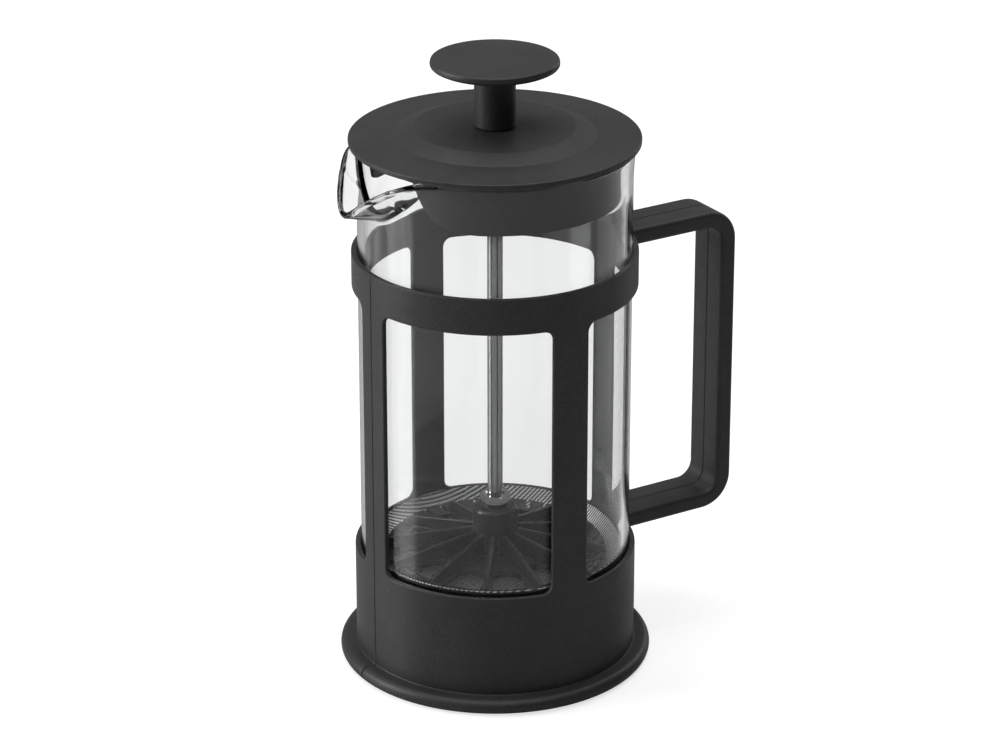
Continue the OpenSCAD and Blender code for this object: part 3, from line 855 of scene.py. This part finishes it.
def lock_nut():
    """A hexagon with turned chamfers and a rounded bore."""
    low, high = NUT_LOW.z, NUT_HIGH.z
    bore = HOLE_R + 0.02
    steps = 16
    rows = []
    ways = [radians(3 * i) for i in range(120)]
    for i in range(steps + 1):
        z = low + (high - low) * i / steps
        row = []
        for a in ways:
            flat = NUT_HALF / cos((a + pi / 6) % (pi / 3) - pi / 6)
            cone = NUT_FACE_R + min(z - low, high - z) / tan(NUT_CHAMFER)
            r = min(flat, cone)
            row.append((r * cos(a), r * sin(a), z))
        rows.append(row)
    bore_rows = []
    for r, z in ((bore + 0.45, high), (bore, high - 0.4), (bore, low + 0.4), (bore + 0.45, low)):
        bore_rows.append([(r * cos(a), r * sin(a), z) for a in ways])
    return rotated(grid(rows + bore_rows, around=True, closed=True), FILTER_TURN)


# ---- filter --------------------------------------------------------------------------------

MESH_TOP = PLATE_LOW.z
PLATE_R = 28.8
FLAT_R = 25.8
PLATE_T = 1.2
HUB_R = 5.85
HUB_Z = 41.3
NECK_R = 3.4
PLATE_HUB_Z = MESH_TOP + 2.6
FINGER_RISE = 1.6
MESH_T = 0.4
RIB_COUNT = 12
RIB_W = 1.2
RIB_HUB_Z = MESH_TOP + 7.6
RIB_END_Z = MESH_TOP + 3.4
ARCH_IN_R = 15.0
ARCH_OUT_R = 24.9
ARCH_END_R = 4.1  # radius of a window's round inner end
ARCH_MID_R = ARCH_IN_R + ARCH_END_R
ARCH_CORNER = 0.4
ARCH_TAPER = 0.12  # how far a window's side leans out for each millimetre outwards
FIELD_IN_R = HUB_R + 1
FIELD_OUT_R = FLAT_R + 0.5
END_STEPS = 16
FLANK_STEPS = 5
OUTER_STEPS = 8
SLOT_COUNT = 36
SLOT_W = 0.9
SLOT_SLANT = radians(30)


def lift(r):
    """Rise of the plate's rim at a radius."""
    return FINGER_RISE * max(0.0, (r - FLAT_R) / (PLATE_R - FLAT_R))


def plate_top(r):
    """Height of the plate's upper face, which falls from the hub to the flat rim."""
    fall = PLATE_HUB_Z - MESH_TOP - PLATE_T
    return MESH_TOP + PLATE_T + fall * max(0, (FLAT_R - r) / (FLAT_R - HUB_R))


def hub():
    outline = rounded([
        (HOLE_R, MESH_TOP + 0.2), (HOLE_R, PLATE_HIGH.z), (NECK_R, PLATE_HIGH.z, 0.25),
        (NECK_R, HUB_Z, 0.2), (HUB_R, HUB_Z, 1.3), (HUB_R, PLATE_HUB_Z + 0.1, 0.7),
        (HUB_R + 2, PLATE_HUB_Z - 0.5), (HUB_R + 2, MESH_TOP + 0.2)
    ], closed=True)
    return turned(outline, closed=True, angles=96)


def arch_ring(grow):
    """The outline of one window in the plate, as (r, angle), round at its inner end."""
    points = []
    arc_r = ARCH_END_R + grow
    for k in range(END_STEPS + 1):
        a = radians(-90 + 180 * k / END_STEPS)
        points.append((ARCH_MID_R - arc_r * cos(a), arc_r * sin(a)))
    out = ARCH_OUT_R + grow
    flank = []
    for k in range(1, FLANK_STEPS):
        x = ARCH_MID_R + (out - ARCH_CORNER - ARCH_MID_R) * k / FLANK_STEPS
        flank.append((x, arc_r + (x - ARCH_MID_R) * ARCH_TAPER))
    points += flank
    side = points[-1][1] + 0.1
    for k in range(OUTER_STEPS + 1):
        y = side - 2 * side * k / OUTER_STEPS
        points.append((sqrt(out * out - y * y), y))
    points += [(x, -y) for x, y in reversed(flank)]
    return [(hypot(x, y), atan2(y, x)) for x, y in points]


def sector_ring():
    """The outline of the field round one window, with one point for each point of arch_ring."""
    half = pi / RIB_COUNT
    points = []
    for k in range(END_STEPS + 1):
        f = k / END_STEPS
        a = half * max(-1, min(1, -1 + 2 * (f - 0.25) / 0.5))
        r = FIELD_IN_R + (ARCH_MID_R - FIELD_IN_R) * max(0.25 - f, f - 0.75, 0) / 0.25
        points.append((r, a))
    flank = [
        (ARCH_MID_R + (FIELD_OUT_R - ARCH_MID_R) * k / FLANK_STEPS, half)
        for k in range(1, FLANK_STEPS)
    ]
    points += flank
    for k in range(OUTER_STEPS + 1):
        points.append((FIELD_OUT_R, half - 2 * half * k / OUTER_STEPS))
    return points + [(r, -a) for r, a in reversed(flank)]


def plate_field():
    """One twelfth of the plate, with its arched window."""
    round_r = 0.25
    inner, outer = arch_ring(round_r), sector_ring()
    rings = [(mixed(inner, outer, f), 0.0) for f in (1, 0.6, 0.3, 0.1)]
    for k in range(4):
        a = pi / 2 * k / 3
        rings.append((arch_ring(round_r * (1 - sin(a))), round_r * (1 - cos(a))))
    under = -1.0  # the depth that marks the rings on the plate's underside
    rings.append((arch_ring(0), under))
    rings += [(mixed(inner, outer, f), under) for f in (0.1, 0.6, 1)]
    rows = []
    for ring, depth in rings:
        row = []
        for r, a in ring:
            z = (MESH_TOP + 0.02 if depth == under else plate_top(r) - depth) + lift(r)
            row.append((r * cos(a), r * sin(a), z))
        rows.append(row)
    return grid(rows, around=True, closed=True)


def finger(index):
    """One blade of the turned-up rim, between two slanted slots."""
    step = 2 * pi / SLOT_COUNT
    rows = []
    steps = 8
    r_in, r_out = FLAT_R - 0.2, PLATE_R - 0.02

    def slot_way(i, r, side):
        """Direction of a slot's edge at a radius."""
        ahead = max(0.0, r - FLAT_R - SLOT_W / 2)
        drift = ahead * tan(SLOT_SLANT) * (1 - 0.12 * ahead)
        half = side * SLOT_W / 2 / cos(SLOT_SLANT)
        if r < FLAT_R + SLOT_W * 0.5:
            half = 0.0
        return (i + 0.5) * step + (drift + half) / r

    for j in range(steps + 1):
        f = j / steps
        r = r_in + (r_out - r_in) * f
        soft = 0.22 if j == steps else 0.0
        start, end = slot_way(index, r, 1), slot_way(index + 1, r, -1)
        z = plate_top(FLAT_R) + lift(r)
        under = MESH_TOP + lift(r) + 0.02
        row = []
        for u, drop in (
            (0, 0.22), (0.02, 0.06), (0.06, 0), (0.35, 0),
            (0.65, 0), (0.94, 0), (0.98, 0.06), (1, 0.22)
        ):
            way = start + (end - start) * u
            row.append((r * cos(way), r * sin(way), z - drop - soft))
        for u in (1, 0.65, 0.35, 0):
            way = start + (end - start) * u
            row.append((r * cos(way), r * sin(way), under + soft))
        rows.append(row)
    return capped(rows)


def rib():
    """One upright rib along +X, with a rounded upper edge."""
    half = RIB_W / 2
    round_r = 0.28
    top_turn = [radians(90 * k / 4) for k in range(5)]
    r_in, r_out = HUB_R - 0.8, PLATE_R - 0.6
    rows = []
    steps = 12
    for j in range(steps + 1):
        r = r_in + (r_out - r_in) * j / steps
        top = RIB_HUB_Z + (RIB_END_Z - RIB_HUB_Z) * j / steps
        if j == steps:
            top -= 0.25
        low = plate_top(r) + lift(r) - 0.5
        right = [
            (half - round_r + round_r * cos(a), top - round_r + round_r * sin(a)) for a in top_turn
        ]
        left = [(-y, z) for y, z in reversed(right)]
        rows.append([(r, y, z) for y, z in [(half, low)] + right + left + [(-half, low)]])
    return capped(rows)


def upper_plate():
    step = 2 * pi / RIB_COUNT
    fields = [rotated(plate_field(), (i + 0.5) * step) for i in range(RIB_COUNT)]
    ribs = [rotated(rib(), i * step) for i in range(RIB_COUNT)]
    fingers = [finger(i) for i in range(SLOT_COUNT)]
    return rotated(joined(hub(), *fields, *ribs, *fingers), FILTER_TURN)


def filter_mesh():
    low, t = MESH_LOW.z, MESH_T
    outer = MESH_HIGH.y
    line = [(HOLE_R, low), (FLAT_R + 0.5, low, 2), (PLATE_R + 0.5, low + FINGER_RISE, 2),
            (outer - 0.1, MESH_HIGH.z - t, 0.15)]
    top = [(outer, MESH_HIGH.z - 0.2, 0.1), (outer - 0.2, MESH_HIGH.z, 0.15),
           (PLATE_R + 0.5, low + FINGER_RISE + t, 2), (FLAT_R + 0.5, low + t, 2), (HOLE_R, low + t)]
    return turned(rounded(line + top, closed=True), closed=True, angles=160)


CROSS_T = 1.6
CROSS_RING_W = 3.6
CROSS_HUB_R = 6.0
SPOKE_COUNT = 6
SPOKE_W = 3.0


def cross_plate():
    """Ring, spokes and hub under the mesh."""
    top, low = CROSS_HIGH.z, CROSS_HIGH.z - CROSS_T
    r = max(CROSS_HIGH.x, CROSS_HIGH.y)
    ring_in = r - CROSS_RING_W
    ring = rounded([
        (r, low, 0.4), (r, top, 0.3), (ring_in, top, 0.3), (ring_in, low, 0.4)
    ], closed=True)
    insert_z = CROSS_INSERT_LOW.z
    middle = rounded([
        (HOLE_R, CROSS_LOW.z + 0.1, 0.1), (CROSS_HUB_R, CROSS_LOW.z, 0.8), (CROSS_HUB_R, top, 0.3),
        (INSERT_R, top, 0.2), (INSERT_R, insert_z), (HOLE_R, insert_z)
    ], closed=True)
    half = SPOKE_W / 2
    section = rounded([
        (half, low, 0.4), (half, top - 0.01, 0.3), (-half, top - 0.01, 0.3), (-half, low, 0.4)
    ], closed=True, steps=4)
    along = (CROSS_HUB_R - 0.6, 14, ring_in + 0.8)
    spoke = capped([[(x, y, z) for y, z in section] for x in along])
    spokes = [rotated(spoke, (i + 0.5) * 2 * pi / SPOKE_COUNT) for i in range(SPOKE_COUNT)]
    parts = [turned(ring, closed=True), turned(middle, closed=True, angles=72), *spokes]
    return rotated(joined(*parts), FILTER_TURN)


KNURL_DEPTH = 0.18
GROOVE_DEPTH = 0.35


def threaded_insert(low, high):
    """A turned brass bush with two knurled bands."""
    r_out, r_in = INSERT_R - 0.06, HOLE_R
    ways = [radians(2.5 * i) for i in range(144)]
    band = (high - low) / 5
    outline = [
        (r_in, low + 0.2, 0), (r_in + 0.25, low, 0),
        (r_out - 0.3, low, 0), (r_out - 0.12, low + 0.2, 0)
    ]
    for start in (low + 0.7 * band, low + 2.9 * band):
        end = start + 1.4 * band
        for z, knurl in ((start, 0), (start + 0.1, 1), (end, 1), (end + 0.1, 0)):
            outline.append((r_out if knurl else r_out - GROOVE_DEPTH, z, knurl))
    outline += [
        (r_out - 0.12, high - 0.2, 0), (r_out - 0.3, high, 0),
        (r_in + 0.25, high, 0), (r_in, high - 0.2, 0)
    ]
    rows = []
    for r, z, knurl in outline:
        row = []
        for i, a in enumerate(ways):
            reach = r - (KNURL_DEPTH if knurl and i % 4 < 2 else 0)
            row.append((reach * cos(a), reach * sin(a), z))
        rows.append(row)
    return grid(rows, around=True, closed=True)


# ---- floor and light -----------------------------------------------------------------------


FLOOR_R = 6.0
FLOOR_DROP = 0.0002  # the table lies this far below the object's foot


def make_floor():
    """A wide, round white table top."""
    data = bpy.data.meshes.new("floor")
    work = bmesh.new()
    bmesh.ops.create_circle(work, cap_ends=True, segments=96, radius=FLOOR_R)
    work.to_mesh(data)
    work.free()
    data.materials.append(floor_paint())
    table = bpy.data.objects.new("floor", data)
    SCENE.collection.objects.link(table)
    table.location.z = CAD_LOW.z - FLOOR_DROP


def softbox(name, place, target, width, height, power, spread=180):
    """A soft rectangular lamp that faces its target."""
    data = bpy.data.lights.new(name, "AREA")
    data.shape = "RECTANGLE"
    data.size = width
    data.size_y = height
    data.energy = power
    data.spread = radians(spread)
    lamp = bpy.data.objects.new(name, data)
    SCENE.collection.objects.link(lamp)
    lamp.location = place
    lamp.rotation_mode = "QUATERNION"
    lamp.rotation_quaternion = (Vector(target) - Vector(place)).to_track_quat("-Z", "Y")


def make_lights():
    middle = (CAD_LOW + CAD_HIGH) / 2
    softbox("top_light", (0.12, 0.20, 1.35), (0.10, 0.16, 0), 1.3, 1.3, 5.6, spread=120)
    softbox("front_light", (-0.40, -0.75, 1.25), middle, 0.9, 0.4, 3)
    softbox("left_light", (-0.95, 0.50, 0.50), middle, 0.55, 0.9, 10)
    softbox("right_light", (0.85, 0.30, 0.45), middle, 0.25, 0.7, 1.2)
    make_world()


BACK_WAY = (0.527, 0.850, 0.0)  # the direction of the glow, behind the object
WORLD_DARK = 0.03
WORLD_GLOW = 0.22
WHITE = (1, 1, 1, 1)


def make_world():
    """A dark studio with a glow behind the object. The camera sees it as a pale backdrop."""
    world = bpy.data.worlds.new("studio")
    SCENE.world = world
    world.use_nodes = True
    n = Nodes(world.node_tree)
    way = n.add("ShaderNodeTexCoord").outputs["Generated"]
    behind = n.add("ShaderNodeVectorMath", {0: way, 1: BACK_WAY}, operation="DOT_PRODUCT")
    glow = n.add("ShaderNodeMapRange", {
        "Value": behind.outputs["Value"], "From Min": 0.3, "From Max": 0.95,
        "To Min": WORLD_DARK, "To Max": WORLD_GLOW,
    }, interpolation_type="SMOOTHSTEP").outputs[0]
    dim = n.add("ShaderNodeBackground", {"Color": WHITE, "Strength": glow}).outputs[0]
    pale = n.add("ShaderNodeBackground", {"Color": WHITE, "Strength": 1.0}).outputs[0]
    seen = n.add("ShaderNodeLightPath").outputs["Is Camera Ray"]
    both = n.add("ShaderNodeMixShader", {0: seen, 1: dim, 2: pale}).outputs[0]
    n.add("ShaderNodeOutputWorld", {"Surface": both})


def make_pieces():
    """Every piece, with its material, its body and the CAD node it stands for."""
    piece("holder_body", holder_cage(), BLACK,
          "holder", "black_plastic", "holder_frame", sharp=40)
    piece("holder_handle", holder_handle(), BLACK,
          "holder", "black_plastic", "holder_frame", sharp=40)
    piece("beaker_glass", glass_beaker(), GLASS,
          "beaker", "beaker_glass", "glass_beaker", sharp=80)
    piece("lid_top", lid_cover(), BLACK, "lid", "black_plastic", "lid_cover")
    piece("lid_skirt_ring", lid_skirt(), BLACK, "lid_skirt", "black_plastic", "lid_strainer_ring")
    piece("plunger_knob", knob(), BLACK, "plunger", "black_plastic", "knob")
    piece("plunger_shaft", plunger_rod(), ROD_STEEL, "plunger", "rod_steel", "plunger_rod")
    piece("lock_nut", lock_nut(), NUT_STEEL, "plunger", "nut_steel", "rod_lock_nut", sharp=25)
    piece("upper_filter_plate", upper_plate(), FILTER_BLACK,
          "plunger", "filter_plastic", "filter_upper_plate")
    piece("woven_filter", filter_mesh(), WOVEN, "plunger", "mesh_steel", "filter_mesh")
    piece("lower_cross_plate", cross_plate(), FILTER_BLACK,
          "plunger", "filter_plastic", "filter_cross_plate")
    piece("knob_bush", threaded_insert(KNOB_INSERT_LOW.z, KNOB_INSERT_HIGH.z), BRASS,
          "plunger", "brass_insert", "knob_insert", sharp=20)
    piece("cross_plate_bush", threaded_insert(CROSS_INSERT_LOW.z, CROSS_INSERT_HIGH.z), BRASS,
          "plunger", "brass_insert", "cross_plate_insert", sharp=20)


make_camera()
make_pieces()
make_floor()
make_lights()
SCENE.view_settings.view_transform = "Standard"
